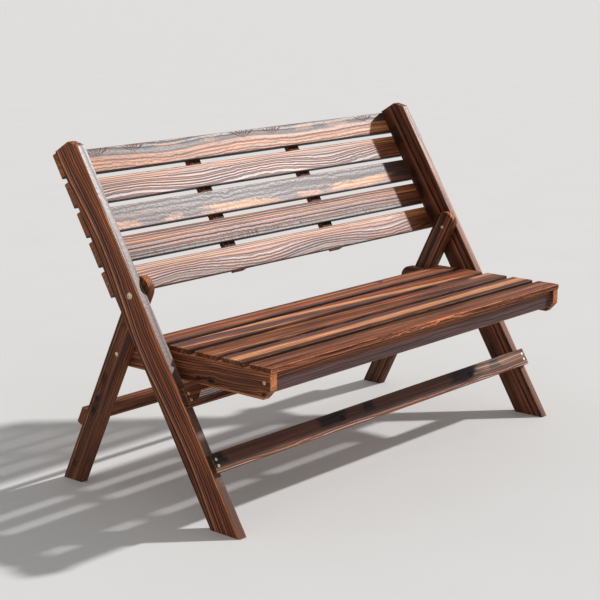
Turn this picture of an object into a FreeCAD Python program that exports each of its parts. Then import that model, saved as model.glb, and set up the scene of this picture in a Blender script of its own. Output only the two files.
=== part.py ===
import FreeCAD, Part
import math
import os

os.makedirs("parts", exist_ok=True)
Vec = FreeCAD.Vector

# Folding garden bench for two, made of scorched softwood boards.
# Two long legs lean back from their front feet and carry the back slats.
# Two rear legs are hinged to them, and the slatted seat is hinged to the rear legs.
# The seat's rails rest on a crossbar, and the whole bench folds flat between the long legs.
# X runs across the bench, Y from the sitter's side to the back, and Z up, in millimetres.
# The side view is drawn from the long legs' front foot corner, and centred at the end.

# Stance
BENCH_WIDTH = 1200.0            # over the outer faces of the long legs
LONG_LEG_ANGLE = 58.8           # degrees up from the floor
REAR_LEG_ANGLE = 63.6           # degrees up from the floor, leaning the other way
LAYER_GAP = 2.0                 # between long leg, rear leg and seat rail, on each side
FOLD_CLEARANCE = 1.0            # folded rear leg to the crossbars on the long legs

# Long legs
LONG_LEG_LENGTH = 954.7         # along the front edge, from the floor to the square top cut
LONG_LEG_DEPTH = 75.0
LONG_LEG_THICK = 22.0
TOP_CLIP_DROP = 22.4            # clipped front corner of the top, along the leg
TOP_CLIP_IN = 24.0              # the same clip, across the leg

# Rear legs
REAR_LEG_DEPTH = 56.0
REAR_LEG_THICK = 20.0
REAR_LEG_PAST_PIVOT = 15.0      # from the pivot up to the centre of the rounded top
LEG_PIVOT_UP = 580.3            # the pivot's place along the long leg

# Crossbars
BAR_WIDTH = 44.0
BAR_THICK = 16.0
FRONT_STRETCHER_UP = 147.5      # lower edge, along the long leg
REAR_STRETCHER_UP = 157.6       # lower edge, along the rear leg's rear edge
SEAT_REST_GAP = 0.3             # between the seat rails and the crossbar under them

# Back
BACK_SLAT_COUNT = 5
BACK_SLAT_WIDTH = 60.0
BACK_SLAT_THICK = 12.0
BACK_SLAT_GAP = 13.0
BACK_TOP_INSET = 3.0            # top slat below the long legs' top cut
BACK_BATTEN_TOP_INSET = 6.0     # batten below the top slat's edge

# Seat
SEAT_HEIGHT = 375.0
SEAT_SLAT_COUNT = 5
SEAT_SLAT_WIDTH = 62.0
SEAT_SLAT_THICK = 12.0
SEAT_SLAT_GAP = 18.0
SEAT_SLAT_OVERHANG = 2.5        # front slat ahead of the rails' front ends
RAIL_DEPTH = 60.0
RAIL_THICK = 20.0
RAIL_FRONT_REACH = 446.5        # from the seat pivot to the rail's front end
RAIL_PAST_PIVOT = 18.0          # from the seat pivot to the centre of the rounded rear end
RAIL_NOSE_HEIGHT = 37.0         # upright part of the rail's front end
RAIL_NOSE_RUN = 21.0            # how far the slope under it runs back
APRON_WIDTH = 46.0
APRON_THICK = 16.0
APRON_SETBACK = 10.0            # behind the rails' front ends
SEAT_BATTEN_GAP = 1.0           # batten behind the apron, and inside the rear slat's edge

# Battens under the seat slats and behind the back slats
BATTEN_WIDTH = 40.0
BATTEN_THICK = 14.0
BATTEN_OFFSET = 182.0           # batten's middle from the bench's middle

# Edges
EDGE_EASE = 1.2                 # small chamfer along the long edges of every board

# Small round things are drawn with a few flat sides
SMALL_SIDES = 6

# Wood screws, countersunk
SCREW_RADIUS = 2.0
SCREW_HEAD_RADIUS = 4.0
SCREW_TIP = 3.0                 # length of the tapered tip
SCREW_TIP_RADIUS = 0.5
SCREW_CLEARANCE = 0.05
BAR_SCREW_GRIP = 24.0           # length that goes into the leg behind a crossbar
SLAT_SCREW_GRIP = 20.0          # length that goes into the long leg in front of a back slat
BATTEN_SCREW_GRIP = 9.0         # length that goes into the slat on a batten
APRON_SCREW_GRIP = 30.0         # length that goes into the apron's end grain
APRON_SCREW_HEAD_RADIUS = 4.5

# Dowels between the seat slats and the rails
DOWEL_RADIUS = 4.0
DOWEL_IN_SLAT = 8.0
DOWEL_IN_RAIL = 20.0

# Pivot hardware
BOLT_RADIUS = 4.0               # plain shank, and the nut's sleeve, which fills a like bore
THREAD_END_ROOM = 2.0           # free length of thread bore past the bolt's end
BORE_CLEARANCE = 0.05           # radial, around a turning shank or sleeve
SIDE_PLAY = 0.3                 # between hardware and a board that turns beside it
RAISED_HEAD_RADIUS = 9.0        # raised head of the leg pivot bolt
RAISED_HEAD_CROWN = 5.5         # radius of its flat crown
RAISED_HEAD_HEIGHT = 4.0
LOW_HEAD_RADIUS = 6.25          # low head of the seat pivot bolt
LOW_HEAD_CROWN = 5.5
LOW_HEAD_HEIGHT = 1.4
NUT_FLANGE_RADIUS = 7.25
NUT_FLANGE_HEIGHT = 1.2
NUT_SLEEVE_WALL = 1.0
NUT_END_WALL = 3.0              # solid metal between the flange and the thread

# Directions along and across the two pairs of legs, in the side plane
long_sin = math.sin(math.radians(LONG_LEG_ANGLE))
long_cos = math.cos(math.radians(LONG_LEG_ANGLE))
rear_sin = math.sin(math.radians(REAR_LEG_ANGLE))
rear_cos = math.cos(math.radians(REAR_LEG_ANGLE))
LONG_UP = Vec(0, long_cos, long_sin)
LONG_IN = Vec(0, long_sin, -long_cos)
REAR_DOWN = Vec(0, rear_cos, -rear_sin)
REAR_BACK = Vec(0, rear_sin, rear_cos)
ACROSS = Vec(1, 0, 0)
UP = Vec(0, 0, 1)
SIDES = {"left": -1, "right": 1}

# Layers from the middle of the bench outwards, on each side
long_leg_outer = BENCH_WIDTH / 2
long_leg_inner = long_leg_outer - LONG_LEG_THICK
rear_leg_outer = long_leg_inner - LAYER_GAP
rear_leg_inner = rear_leg_outer - REAR_LEG_THICK
rail_outer = rear_leg_inner - LAYER_GAP
rail_inner = rail_outer - RAIL_THICK
long_leg_middle = (long_leg_outer + long_leg_inner) / 2
rear_leg_middle = (rear_leg_outer + rear_leg_inner) / 2
rail_middle = (rail_outer + rail_inner) / 2

# Pivots, as points of the side plane
leg_pivot_in = REAR_LEG_DEPTH / 2 + FOLD_CLEARANCE
leg_pivot = LONG_UP * LEG_PIVOT_UP + LONG_IN * leg_pivot_in
rail_top = SEAT_HEIGHT - SEAT_SLAT_THICK
rail_bottom = rail_top - RAIL_DEPTH
seat_pivot_down = (leg_pivot.z - (rail_top + rail_bottom) / 2) / rear_sin
seat_pivot = leg_pivot + REAR_DOWN * seat_pivot_down

# Heights and places along the long leg
seat_rest_corner = rail_bottom - SEAT_REST_GAP + EDGE_EASE * min(long_sin, long_cos)
seat_rest_top = (seat_rest_corner - BAR_THICK * long_cos) / long_sin
back_top = LONG_LEG_LENGTH - BACK_TOP_INSET
back_slat_pitch = BACK_SLAT_WIDTH + BACK_SLAT_GAP
back_bottom = back_top - BACK_SLAT_COUNT * BACK_SLAT_WIDTH - (BACK_SLAT_COUNT - 1) * BACK_SLAT_GAP
back_face = LONG_LEG_DEPTH + BACK_SLAT_THICK

# Places along the seat
rail_front = seat_pivot.y - RAIL_FRONT_REACH
seat_front = rail_front - SEAT_SLAT_OVERHANG
seat_slat_pitch = SEAT_SLAT_WIDTH + SEAT_SLAT_GAP
seat_rear = seat_front + SEAT_SLAT_COUNT * SEAT_SLAT_WIDTH + (SEAT_SLAT_COUNT - 1) * SEAT_SLAT_GAP
apron_front = rail_front + APRON_SETBACK
seat_batten_front = apron_front + APRON_THICK + SEAT_BATTEN_GAP
seat_batten_rear = seat_rear - SEAT_BATTEN_GAP

# Pivot hardware that follows from its neighbours
thread_radius = BOLT_RADIUS - NUT_SLEEVE_WALL

# Place along the rear leg where its axis reaches the floor, from the pivot
rear_leg_to_floor = leg_pivot.z / rear_sin
rear_foot_back = leg_pivot.y + rear_leg_to_floor * rear_cos + REAR_LEG_DEPTH / 2 / rear_sin

# The bench is centred between its frontmost and rearmost points
bench_front = min(seat_front, 0.0)
bench_rear = rear_foot_back
bench_middle = Vec(0, (bench_front + bench_rear) / 2, 0)


def side_face(points):
    """Flat face in the side plane, through corner points in order."""
    return Part.Face(Part.makePolygon(points + points[:1]))


def between(face, x_low, x_high):
    """Solid made by moving a side-plane face across the bench from x_low to x_high."""
    placed = face.copy()
    placed.translate(ACROSS * x_low)
    return placed.extrude(ACROSS * (x_high - x_low))


def layer(face, side, outer, inner):
    """Solid between two distances from the bench's middle, on the left (-1) or right (1)."""
    low, high = sorted((side * outer, side * inner))
    return between(face, low, high)


def eased(board, along):
    """Board with a small chamfer on its long edges, those along a direction."""
    edges = [edge for edge in board.Edges
             if isinstance(edge.Curve, Part.Line) and edge.Curve.Direction.cross(along).Length < 1e-6]
    return board.makeChamfer(EDGE_EASE, edges)


def cross_board(corner, run, width, rise, thick, half_length):
    """Board lying across the bench: its end is width along run by thick along rise."""
    end = side_face([corner, corner + run * width, corner + run * width + rise * thick, corner + rise * thick])
    return eased(between(end, -half_length, half_length), ACROSS)


def revolved(profile, origin, direction):
    """Round solid whose (radius, distance) profile turns about a line from origin."""
    wire = Part.makePolygon([Vec(radius, 0, distance) for radius, distance in profile + profile[:1]])
    solid = Part.Face(wire).revolve(Vec(0, 0, 0), UP, 360)
    solid.Placement = FreeCAD.Placement(origin, FreeCAD.Rotation(UP, direction))
    return solid


def few_sided(profile, origin, direction):
    """Solid of SMALL_SIDES flat sides whose (radius, distance) rings follow a line from origin."""
    turns = [2 * math.pi * side / SMALL_SIDES for side in range(SMALL_SIDES)]
    rings = [[Vec(radius * math.cos(turn), radius * math.sin(turn), distance) for turn in turns]
             for radius, distance in profile]
    faces = [side_face(rings[0]), side_face(rings[-1])]
    for low, high in zip(rings, rings[1:]):
        faces += [side_face([low[side - 1], low[side], high[side], high[side - 1]]) for side in range(SMALL_SIDES)]
    solid = Part.makeSolid(Part.makeShell(faces))
    solid.Placement = FreeCAD.Placement(origin, FreeCAD.Rotation(UP, direction))
    return solid


def screw(place, grow=0.0):
    """Countersunk screw at a place, or the cutter of its hole when grown by a clearance."""
    head_centre, direction, length, head_radius = place
    shank = SCREW_RADIUS + grow
    head = head_radius + grow
    end = length + grow
    profile = [(head, 0), (shank, head - shank), (shank, end - SCREW_TIP), (SCREW_TIP_RADIUS + grow, end)]
    return few_sided(profile, head_centre, direction)


def drilled(board, screw_places):
    """Board with the holes of the screws that pass through or into it."""
    return board.cut([screw(place, SCREW_CLEARANCE) for place in screw_places])


def thirds(low, width):
    """The two screw places across a board's width."""
    return [low + width / 3, low + 2 * width / 3]


def bar_screws(up, side):
    """Screws through one end of a crossbar into a long leg's front edge."""
    return [(ACROSS * (side * long_leg_middle) + LONG_UP * at - LONG_IN * BAR_THICK, LONG_IN,
             BAR_THICK + BAR_SCREW_GRIP, SCREW_HEAD_RADIUS) for at in thirds(up, BAR_WIDTH)]


def back_slat_middle(number):
    """Middle of a back slat's width, along the long leg, counted from the top."""
    return back_top - BACK_SLAT_WIDTH / 2 - (number - 1) * back_slat_pitch


def back_slat_screw(number, side):
    """Screw through one end of a back slat into a long leg's rear edge."""
    head = ACROSS * (side * long_leg_middle) + LONG_UP * back_slat_middle(number) + LONG_IN * back_face
    return (head, -LONG_IN, BACK_SLAT_THICK + SLAT_SCREW_GRIP, SCREW_HEAD_RADIUS)


def back_batten_screw(number, side):
    """Screw through a back batten into the middle of one back slat."""
    at = back_slat_middle(number)
    head = ACROSS * (side * BATTEN_OFFSET) + LONG_UP * at + LONG_IN * (back_face + BATTEN_THICK)
    return (head, -LONG_IN, BATTEN_THICK + BATTEN_SCREW_GRIP, SCREW_HEAD_RADIUS)


def rear_stretcher_screws(side):
    """Screws through one end of the rear stretcher into a rear leg's rear edge."""
    return [(ACROSS * (side * rear_leg_middle) + rear_edge_point(at) + REAR_BACK * BAR_THICK, -REAR_BACK,
             BAR_THICK + BAR_SCREW_GRIP, SCREW_HEAD_RADIUS) for at in thirds(REAR_STRETCHER_UP, BAR_WIDTH)]


def seat_batten_screw(number, side):
    """Screw from below through a seat batten into one seat slat, amid their shared width."""
    slat_front = seat_slat_front(number)
    at = (max(slat_front, seat_batten_front) + min(slat_front + SEAT_SLAT_WIDTH, seat_batten_rear)) / 2
    head = Vec(side * BATTEN_OFFSET, at, rail_top - BATTEN_THICK)
    return (head, UP, BATTEN_THICK + BATTEN_SCREW_GRIP, SCREW_HEAD_RADIUS)


def apron_screw(side):
    """Screw through a seat rail into the apron's end."""
    head = Vec(side * rail_outer, apron_front + APRON_THICK / 2, rail_top - APRON_WIDTH / 2)
    return (head, ACROSS * -side, RAIL_THICK + APRON_SCREW_GRIP, APRON_SCREW_HEAD_RADIUS)


def seat_dowel(number, side, grow=0.0):
    """Dowel between a seat rail and the middle of one seat slat's end, or its hole's cutter."""
    low = Vec(side * rail_middle, seat_slat_front(number) + SEAT_SLAT_WIDTH / 2, rail_top - DOWEL_IN_RAIL - grow)
    length = DOWEL_IN_RAIL + DOWEL_IN_SLAT + 2 * grow
    return few_sided([(DOWEL_RADIUS + grow, 0), (DOWEL_RADIUS + grow, length)], low, UP)


def seat_slat_front(number):
    """Front edge of a seat slat, counted from the front."""
    return seat_front + (number - 1) * seat_slat_pitch


def rear_edge_point(up):
    """Point on a rear leg's rear edge, up along it from the floor."""
    return Vec(0, rear_foot_back, 0) - REAR_DOWN * up


def bore(pivot):
    """Cutter of a pivot bore right across the bench."""
    return Part.makeCylinder(BOLT_RADIUS + BORE_CLEARANCE, 2 * BENCH_WIDTH, pivot - ACROSS * BENCH_WIDTH, ACROSS)


def sleeve_length(board_thick):
    """Length of a nut's sleeve, which reaches through one board and across the gap beyond it."""
    return SIDE_PLAY + board_thick + LAYER_GAP


def long_leg(side):
    """Leaning leg with a level foot, a square top and a clipped front corner."""
    top = LONG_UP * LONG_LEG_LENGTH
    foot_back = Vec(0, LONG_LEG_DEPTH / long_sin, 0)
    outline = [Vec(0, 0, 0), foot_back, top + LONG_IN * LONG_LEG_DEPTH, top + LONG_IN * TOP_CLIP_IN,
               top - LONG_UP * TOP_CLIP_DROP]
    leg = eased(layer(side_face(outline), side, long_leg_outer, long_leg_inner), LONG_UP)
    screws = bar_screws(FRONT_STRETCHER_UP, side) + bar_screws(seat_rest_top - BAR_WIDTH, side)
    screws += [back_slat_screw(number, side) for number in back_numbers]
    return drilled(leg, screws).cut(bore(leg_pivot))


def rear_leg(side):
    """Leg with a level foot and a rounded top beyond its pivot."""
    half = REAR_LEG_DEPTH / 2
    slope = half * rear_cos / rear_sin
    centre = leg_pivot - REAR_DOWN * REAR_LEG_PAST_PIVOT
    top_front, top_back = centre - REAR_BACK * half, centre + REAR_BACK * half
    foot_front = leg_pivot + REAR_DOWN * (rear_leg_to_floor - slope) - REAR_BACK * half
    foot_back = leg_pivot + REAR_DOWN * (rear_leg_to_floor + slope) + REAR_BACK * half
    outline = Part.Wire([Part.makeLine(foot_front, foot_back), Part.makeLine(foot_back, top_back),
                         Part.Arc(top_back, centre - REAR_DOWN * half, top_front).toShape(),
                         Part.makeLine(top_front, foot_front)])
    leg = eased(layer(Part.Face(outline), side, rear_leg_outer, rear_leg_inner), REAR_DOWN)
    leg = leg.cut([bore(leg_pivot), bore(seat_pivot)])
    return drilled(leg, rear_stretcher_screws(side))


def long_leg_crossbar(up):
    """Crossbar on the front edges of both long legs."""
    board = cross_board(LONG_UP * up - LONG_IN * BAR_THICK, LONG_UP, BAR_WIDTH, LONG_IN, BAR_THICK, long_leg_outer)
    return drilled(board, bar_screws(up, -1) + bar_screws(up, 1))


def rear_stretcher():
    """Crossbar on the rear edges of both rear legs."""
    board = cross_board(rear_edge_point(REAR_STRETCHER_UP), -REAR_DOWN, BAR_WIDTH, REAR_BACK, BAR_THICK,
                        rear_leg_outer)
    return drilled(board, rear_stretcher_screws(-1) + rear_stretcher_screws(1))


def back_slat(number):
    """Back slat on the rear edges of the long legs, counted from the top."""
    low = back_slat_middle(number) - BACK_SLAT_WIDTH / 2
    board = cross_board(LONG_UP * low + LONG_IN * LONG_LEG_DEPTH, LONG_UP, BACK_SLAT_WIDTH, LONG_IN,
                        BACK_SLAT_THICK, long_leg_outer)
    screws = [back_slat_screw(number, side) for side in SIDES.values()]
    screws += [back_batten_screw(number, side) for side in SIDES.values()]
    return drilled(board, screws)


def back_batten(side):
    """Upright batten that ties the back slats together from behind."""
    low = LONG_UP * back_bottom + LONG_IN * back_face
    length = back_top - BACK_BATTEN_TOP_INSET - back_bottom
    end = side_face([low, low + LONG_UP * length, low + LONG_UP * length + LONG_IN * BATTEN_THICK,
                     low + LONG_IN * BATTEN_THICK])
    board = layer(end, side, BATTEN_OFFSET + BATTEN_WIDTH / 2, BATTEN_OFFSET - BATTEN_WIDTH / 2)
    return drilled(eased(board, LONG_UP), [back_batten_screw(number, side) for number in back_numbers])


def seat_rail(side):
    """Seat rail with a sloped nose in front and a rounded end behind its pivot."""
    half = RAIL_DEPTH / 2
    centre = seat_pivot + Vec(0, RAIL_PAST_PIVOT, 0)
    corners = [centre + UP * half, Vec(0, rail_front, rail_top), Vec(0, rail_front, rail_top - RAIL_NOSE_HEIGHT),
               Vec(0, rail_front + RAIL_NOSE_RUN, rail_bottom), centre - UP * half]
    edges = [Part.makeLine(start, stop) for start, stop in zip(corners, corners[1:])]
    edges.append(Part.Arc(corners[-1], centre + Vec(0, half, 0), corners[0]).toShape())
    rail = eased(layer(Part.Face(Part.Wire(edges)), side, rail_outer, rail_inner), Vec(0, 1, 0))
    holes = [seat_dowel(number, side, SCREW_CLEARANCE) for number in seat_numbers]
    return drilled(rail.cut(holes + [bore(seat_pivot)]), [apron_screw(side)])


def seat_slat(number):
    """Seat slat across both rails, counted from the front."""
    corner = Vec(0, seat_slat_front(number), rail_top)
    board = cross_board(corner, Vec(0, 1, 0), SEAT_SLAT_WIDTH, UP, SEAT_SLAT_THICK, rail_outer)
    board = board.cut([seat_dowel(number, side, SCREW_CLEARANCE) for side in SIDES.values()])
    return drilled(board, [seat_batten_screw(number, side) for side in SIDES.values()])


def seat_apron():
    """Board on edge between the rails, under the front slat."""
    corner = Vec(0, apron_front, rail_top - APRON_WIDTH)
    board = cross_board(corner, UP, APRON_WIDTH, Vec(0, 1, 0), APRON_THICK, rail_inner)
    return drilled(board, [apron_screw(side) for side in SIDES.values()])


def seat_batten(side):
    """Batten that ties the seat slats together from below."""
    low = rail_top - BATTEN_THICK
    end = side_face([Vec(0, seat_batten_front, low), Vec(0, seat_batten_rear, low),
                     Vec(0, seat_batten_rear, rail_top), Vec(0, seat_batten_front, rail_top)])
    board = layer(end, side, BATTEN_OFFSET + BATTEN_WIDTH / 2, BATTEN_OFFSET - BATTEN_WIDTH / 2)
    return drilled(eased(board, Vec(0, 1, 0)), [seat_batten_screw(number, side) for number in seat_numbers])


def sleeve_nut(pivot, side, board_inner, board_thick):
    """Flanged nut whose sleeve lines a board's bore, with its flange beside the board's inner face."""
    outward = ACROSS * side
    seat = pivot + outward * (board_inner - SIDE_PLAY)
    end = sleeve_length(board_thick)
    profile = [(0, -NUT_FLANGE_HEIGHT), (NUT_FLANGE_RADIUS, -NUT_FLANGE_HEIGHT), (NUT_FLANGE_RADIUS, 0),
               (BOLT_RADIUS, 0), (BOLT_RADIUS, end), (0, end)]
    hole = thread_radius + BORE_CLEARANCE
    return revolved(profile, seat, outward).cut(few_sided([(hole, NUT_END_WALL), (hole, end)], seat, outward))


def pivot_bolt(pivot, side, head_face, head_radius, crown, head_height, far_layer, board_thick):
    """Bolt whose head lies on one board, and whose thread ends in the nut inside the next board."""
    inward = ACROSS * -side
    seat = pivot - inward * head_face
    shank = head_face - far_layer
    profile = [(0, -head_height), (crown, -head_height), (head_radius, 0), (BOLT_RADIUS, 0), (BOLT_RADIUS, shank),
               (0, shank)]
    end = shank + sleeve_length(board_thick) - NUT_END_WALL - THREAD_END_ROOM
    thread = few_sided([(thread_radius, shank), (thread_radius, end)], seat, inward)
    return revolved(profile, seat, inward).fuse(thread)


def leg_pivot_bolt(side):
    """Bolt with a raised head outside the long leg, threaded into the nut inside the rear leg."""
    return pivot_bolt(leg_pivot, side, long_leg_outer, RAISED_HEAD_RADIUS, RAISED_HEAD_CROWN,
                      RAISED_HEAD_HEIGHT, long_leg_inner, REAR_LEG_THICK)


def seat_pivot_bolt(side):
    """Bolt with a low head outside the rear leg, threaded into the nut inside the seat rail."""
    return pivot_bolt(seat_pivot, side, rear_leg_outer, LOW_HEAD_RADIUS, LOW_HEAD_CROWN,
                      LOW_HEAD_HEIGHT, rear_leg_inner, RAIL_THICK)


def save(name, shape):
    """Write one node, with the bench's middle moved to the origin."""
    centred = shape.copy()
    centred.translate(-bench_middle)
    centred.exportStep("parts/" + name + ".step")
    nodes[name] = centred


nodes = {}
back_numbers = range(1, BACK_SLAT_COUNT + 1)
seat_numbers = range(1, SEAT_SLAT_COUNT + 1)

for number in back_numbers:
    save("back_slat_%d" % number, back_slat(number))
for number in seat_numbers:
    save("seat_slat_%d" % number, seat_slat(number))
for name, side in SIDES.items():
    save("long_leg_" + name, long_leg(side))
    save("rear_leg_" + name, rear_leg(side))
    save("seat_rail_" + name, seat_rail(side))
    save("back_batten_" + name, back_batten(side))
    save("seat_batten_" + name, seat_batten(side))
    save("leg_pivot_bolt_" + name, leg_pivot_bolt(side))
    save("leg_pivot_nut_" + name, sleeve_nut(leg_pivot, side, rear_leg_inner, REAR_LEG_THICK))
    save("seat_pivot_bolt_" + name, seat_pivot_bolt(side))
    save("seat_pivot_nut_" + name, sleeve_nut(seat_pivot, side, rail_inner, RAIL_THICK))
save("front_stretcher", long_leg_crossbar(FRONT_STRETCHER_UP))
save("seat_rest_crossbar", long_leg_crossbar(seat_rest_top - BAR_WIDTH))
save("rear_stretcher", rear_stretcher())
save("seat_apron", seat_apron())

save("front_stretcher_screws", Part.makeCompound(
    [screw(place) for side in SIDES.values() for place in bar_screws(FRONT_STRETCHER_UP, side)]))
save("seat_rest_screws", Part.makeCompound(
    [screw(place) for side in SIDES.values() for place in bar_screws(seat_rest_top - BAR_WIDTH, side)]))
save("rear_stretcher_screws", Part.makeCompound(
    [screw(place) for side in SIDES.values() for place in rear_stretcher_screws(side)]))
save("back_slat_screws", Part.makeCompound(
    [screw(back_slat_screw(number, side)) for side in SIDES.values() for number in back_numbers]))
save("back_batten_screws", Part.makeCompound(
    [screw(back_batten_screw(number, side)) for side in SIDES.values() for number in back_numbers]))
save("seat_batten_screws", Part.makeCompound(
    [screw(seat_batten_screw(number, side)) for side in SIDES.values() for number in seat_numbers]))
save("apron_screws", Part.makeCompound([screw(apron_screw(side)) for side in SIDES.values()]))
save("seat_dowels", Part.makeCompound(
    [seat_dowel(number, side) for side in SIDES.values() for number in seat_numbers]))

print("nodes", len(nodes))
print("leg pivot y, z", round(leg_pivot.y - bench_middle.y, 3), round(leg_pivot.z, 3))
print("seat pivot y, z", round(seat_pivot.y - bench_middle.y, 3), round(seat_pivot.z, 3))
print("leg fold degrees", round(180 - LONG_LEG_ANGLE - REAR_LEG_ANGLE, 3))
print("seat fold degrees", round(REAR_LEG_ANGLE, 3))
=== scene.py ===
import math
from typing import NamedTuple

import bmesh
import bpy
from mathutils import Matrix, Vector


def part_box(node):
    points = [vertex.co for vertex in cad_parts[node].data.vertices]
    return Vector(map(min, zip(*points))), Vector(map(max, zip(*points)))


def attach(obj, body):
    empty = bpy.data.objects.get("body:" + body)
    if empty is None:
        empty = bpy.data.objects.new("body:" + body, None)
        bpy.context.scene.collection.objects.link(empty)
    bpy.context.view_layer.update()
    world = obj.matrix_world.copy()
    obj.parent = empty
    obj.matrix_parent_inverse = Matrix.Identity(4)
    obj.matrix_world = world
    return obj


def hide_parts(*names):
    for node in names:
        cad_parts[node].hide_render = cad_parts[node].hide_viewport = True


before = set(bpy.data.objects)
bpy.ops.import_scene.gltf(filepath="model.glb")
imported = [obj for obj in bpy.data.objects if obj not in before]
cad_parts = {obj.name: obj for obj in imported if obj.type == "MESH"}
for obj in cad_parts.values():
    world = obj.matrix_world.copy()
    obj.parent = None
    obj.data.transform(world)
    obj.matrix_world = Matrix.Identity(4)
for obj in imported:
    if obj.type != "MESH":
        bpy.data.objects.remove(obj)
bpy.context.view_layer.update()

# Directions of the bench's boards, in the side view
LONG_LEG_ANGLE = math.radians(58.8)
REAR_LEG_ANGLE = math.radians(63.6)
X = Vector((1, 0, 0))
Y = Vector((0, 1, 0))
Z = Vector((0, 0, 1))
LONG_UP = Vector((0, math.cos(LONG_LEG_ANGLE), math.sin(LONG_LEG_ANGLE)))
LONG_IN = Vector((0, math.sin(LONG_LEG_ANGLE), -math.cos(LONG_LEG_ANGLE)))
REAR_UP = Vector((0, -math.cos(REAR_LEG_ANGLE), math.sin(REAR_LEG_ANGLE)))
REAR_BACK = Vector((0, math.sin(REAR_LEG_ANGLE), math.cos(REAR_LEG_ANGLE)))

# Directions along, across and through each kind of board
AXES = {
    "back_slat": (X, LONG_UP, LONG_IN),
    "front_stretcher": (X, LONG_UP, LONG_IN),
    "seat_rest_crossbar": (X, LONG_UP, LONG_IN),
    "back_batten": (LONG_UP, X, LONG_IN),
    "long_leg": (LONG_UP, -LONG_IN, X),
    "rear_leg": (REAR_UP, REAR_BACK, X),
    "rear_stretcher": (X, REAR_UP, REAR_BACK),
    "seat_slat": (X, Y, Z),
    "seat_rail": (Y, Z, X),
    "seat_apron": (X, Z, Y),
    "seat_batten": (Y, X, Z),
}

# Camera of the photograph, in metres and radians; lens and sensor in millimetres
CAMERA_PLACE = Vector((-2.8626, -2.4151, 1.2200))
CAMERA_YAW = 0.8535
CAMERA_PITCH = -0.2209
CAMERA_LENS = 93.7
CAMERA_SENSOR = 36.0

# Light and floor
TOWARDS_SUN = Vector((0.736, -0.350, 0.580))
SUN_STRENGTH = 3.2
SUN_SOFTNESS = math.radians(3.0)
SKY_STRENGTH = 0.42
BACKGROUND_STRENGTH = 0.72
FLOOR_SIZE = 120.0
FLOOR_COLOURS = ((0.70, 0.69, 0.675, 1), (0.74, 0.73, 0.715, 1))

# Screws, in metres and radians
SCREW_SHANK = 0.002
SCREW_TIP_RADIUS = 0.0005
SCREW_TIP_LENGTH = 0.003
SCREW_CROWN = 0.0004     # how far the middle of a head stands proud
SCREW_HEAD_SHARE = 0.92  # its head's radius over that of the plain solid
SCREW_TURN = 0.7         # from the cross of one screw to that of the next
CROSS_LENGTH = 1.15      # of a cross recess, in head radii
CROSS_WIDTH = 0.24       # of its arms, in head radii
CROSS_DEPTH = 0.0016
CROSS_TAPER = 0.45       # its length at the bottom over that at the top
# Shares of a head's radius and crown, from its middle outwards
CROWN_OUTLINE = ((0, 1.0), (0.6, 0.8), (0.92, 0.3))

# Pivot bolts and nuts, in metres and radians
PIVOT_SHANK = 0.004
GROOVE_DEPTH = 0.0008
SOCKET_SHARE = 0.62  # depth of a socket over the height of its head
SOCKET_DEEPEST = 0.0025
SOCKET_TAPER = 0.9   # its width at the bottom over that at the top
SOCKET_TURN = 0.3

# Meshes
ROUND_SEGMENTS = 40
BAR_CLEARANCE = 0.001    # how far a cutting bar starts above the rim of a head
PRISM_CLEARANCE = 0.002  # how far a cutting prism starts above the top of one
SAME_HEIGHT = 1e-5
SAME_POINT = 1e-6
SHARP_ANGLE = math.radians(35)

# Colours of the scorched wood, in linear light
EARLY_DARK = (0.085, 0.027, 0.013, 1)
EARLY_WARM = (0.40, 0.140, 0.066, 1)
LATE_WOOD = (0.012, 0.004, 0.0025, 1)
HONEY = (0.80, 0.38, 0.15, 1)
TAN = (0.66, 0.30, 0.150, 1)
FLAME = (0.57, 0.225, 0.092, 1)
RUST = (0.30, 0.082, 0.034, 1)
DUSK = (0.105, 0.062, 0.062, 1)
WEATHERED = (0.060, 0.040, 0.037, 1)
# Char, and also the painted shade laid along the lower or front arrises
CHAR_AND_SHADE = (0.012, 0.006, 0.005, 1)
RAY = (0.125, 0.048, 0.026, 1)
# Soot, and also the painted shade at the foot of the left long leg's front face
SOOT_AND_SHADE = (0.045, 0.024, 0.013, 1)
# Paler arrises: partly wear, partly painted highlight
ARRIS = (0.42, 0.15, 0.055, 1)
END_DARK = (0.050, 0.019, 0.010, 1)
END_PALE = (0.72, 0.255, 0.100, 1)

# Colours of the dowels and the zinc
BEECH_COLOURS = ((0.42, 0.25, 0.12, 1), (0.62, 0.42, 0.23, 1))
PIVOT_ZINC = (0.78, 0.62, 0.38, 1)
SCREW_ZINC = (0.66, 0.61, 0.54, 1)
YELLOW_ZINC = (0.74, 0.58, 0.33, 1)
DULL_ZINC = 0.62     # how light the duller patches are
DULL_ROUGHER = 0.25  # how much rougher they are
SCUFF_HEIGHT = 0.00003

# Growth and finish of the wood; lengths in metres
WAVE_LENGTH = 0.5                # between the humps of the wavy boards
CALM_REACH = 0.025               # over which the long waves fade out
LATE_FULL = 0.84                 # share of a ring at which its late wood is darkest
YEAR_SPREAD = 1.5                # how far the growth of the years differs, in rings
YEAR_SCALE = 70.0                # how quickly it changes from the heart outwards
SEED_STRIDES = (7.3, 3.1, 1.7)   # how far apart the boards lie in the tree
RAYS_PER_TURN = 17.0             # cracks round a knot
KNOT_PUSH = 0.85                 # how strongly a knot pushes the rings aside
KNOT_SQUEEZE = (0.55, 1.0, 0.3)  # makes a knot longer along and through a board than across
WORN_AND_HIGHLIGHT_REACH = (0.0028, 0.0005)    # from an arris, where its wear and painted highlight start and where they are full
EDGE_CHAR_AND_SHADE_REACH = (0.0040, 0.0022)   # the same for the char and painted shade of an arris
CHECKS_REACH = (-0.008, -0.018)  # the same for the short cracks, from a board's middle
END_COVER = 0.85                 # how far the end grain hides what lies under it
WEAR_AND_HIGHLIGHT_COVER = 0.75                # the same for the wear and painted highlight
FIBRE_HEIGHT = 0.00010
GLAZE_ROUGHNESS = 0.33
GLAZE_IOR = 1.8

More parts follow.
